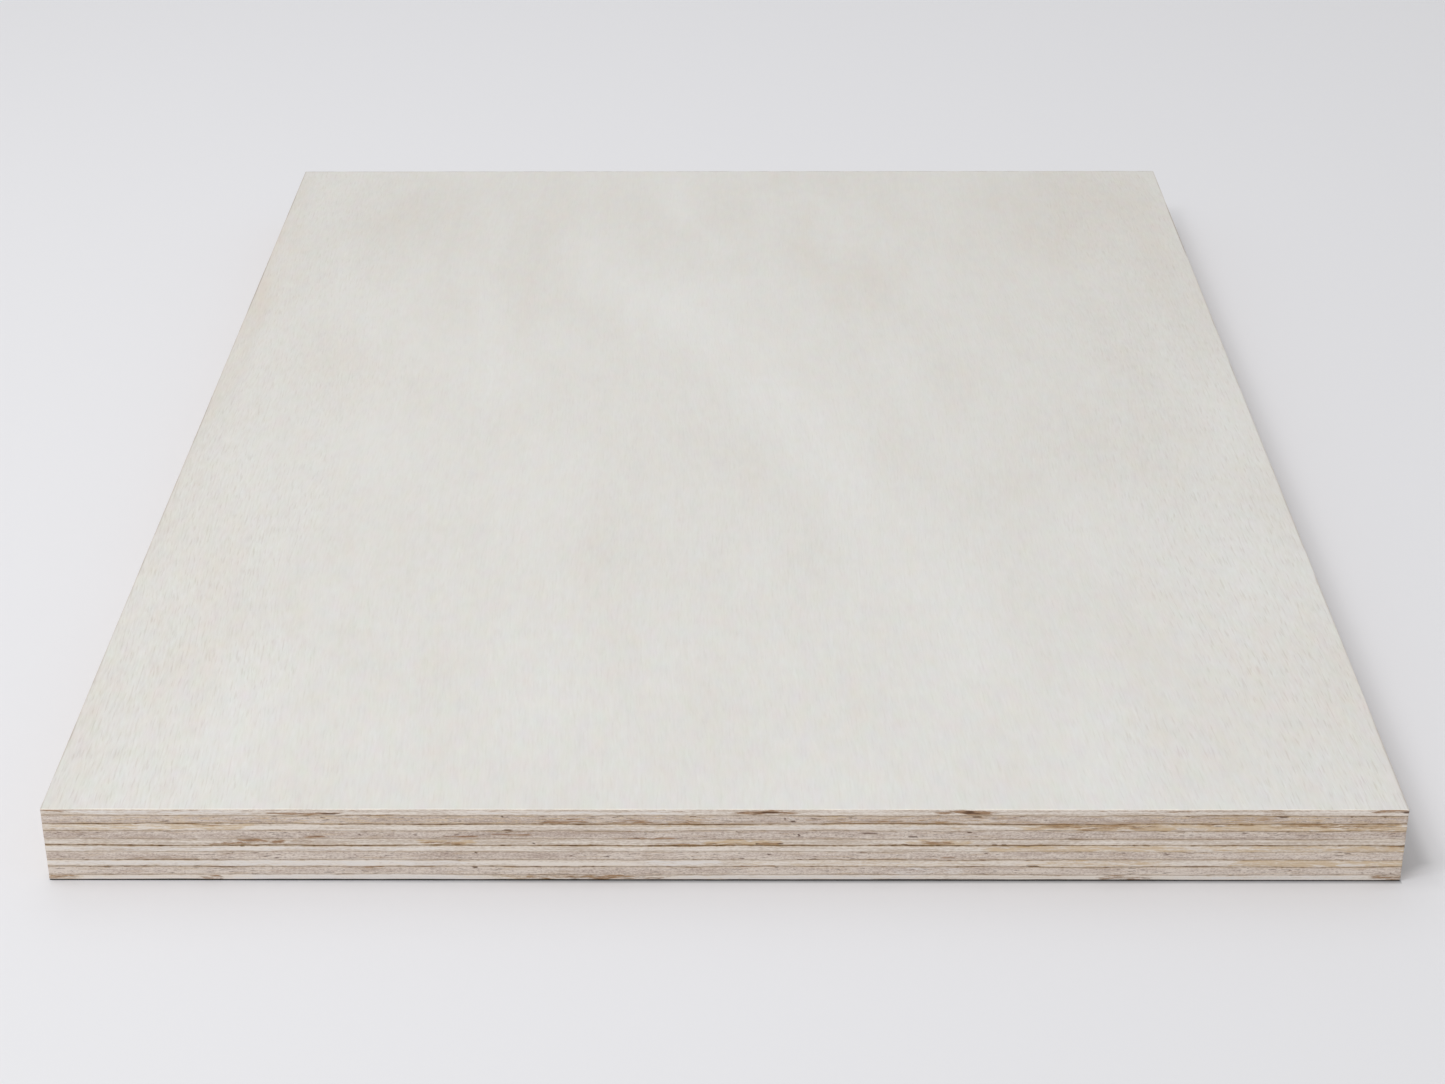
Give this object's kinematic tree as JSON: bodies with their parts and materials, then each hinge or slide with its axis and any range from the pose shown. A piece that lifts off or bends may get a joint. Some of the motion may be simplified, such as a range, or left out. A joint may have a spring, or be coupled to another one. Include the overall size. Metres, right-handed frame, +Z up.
{
  "type": "plywood sheet",
  "caption": "Flat rectangular offcut of pale plywood, sanded on both sides and sawn square, with the cross-laid plies showing on its edges.",
  "frame": {"origin": "middle of the underside, on the surface that the sheet lies on", "axes": "+Y along the face grain and the sheet's length, +X across the face grain, +Z up through the plies"},
  "size_m": [0.29, 0.4, 0.018],
  "materials": {
    "sanded_face": "very pale bluish-white to beige veneer, finely sanded, matt with a faint sheen along the grain",
    "long_grain_edge": "pale cream veneer, smooth, sawn across its grain at the two short edges and along it at the two long ones",
    "cross_grain_edge": "taupe veneer, dry and slightly fuzzy, sawn along its grain at the two short edges and across it at the two long ones"
  },
  "bodies": {
    "root": {"face_veneer": "sanded_face", "crossband_1": "cross_grain_edge", "long_band_1": "long_grain_edge", "crossband_2": "cross_grain_edge", "centre_veneer_1": "long_grain_edge", "centre_veneer_2": "long_grain_edge", "crossband_3": "cross_grain_edge", "long_band_2": "long_grain_edge", "crossband_4": "cross_grain_edge", "back_veneer": "sanded_face"}
  },
  "joints": []
}
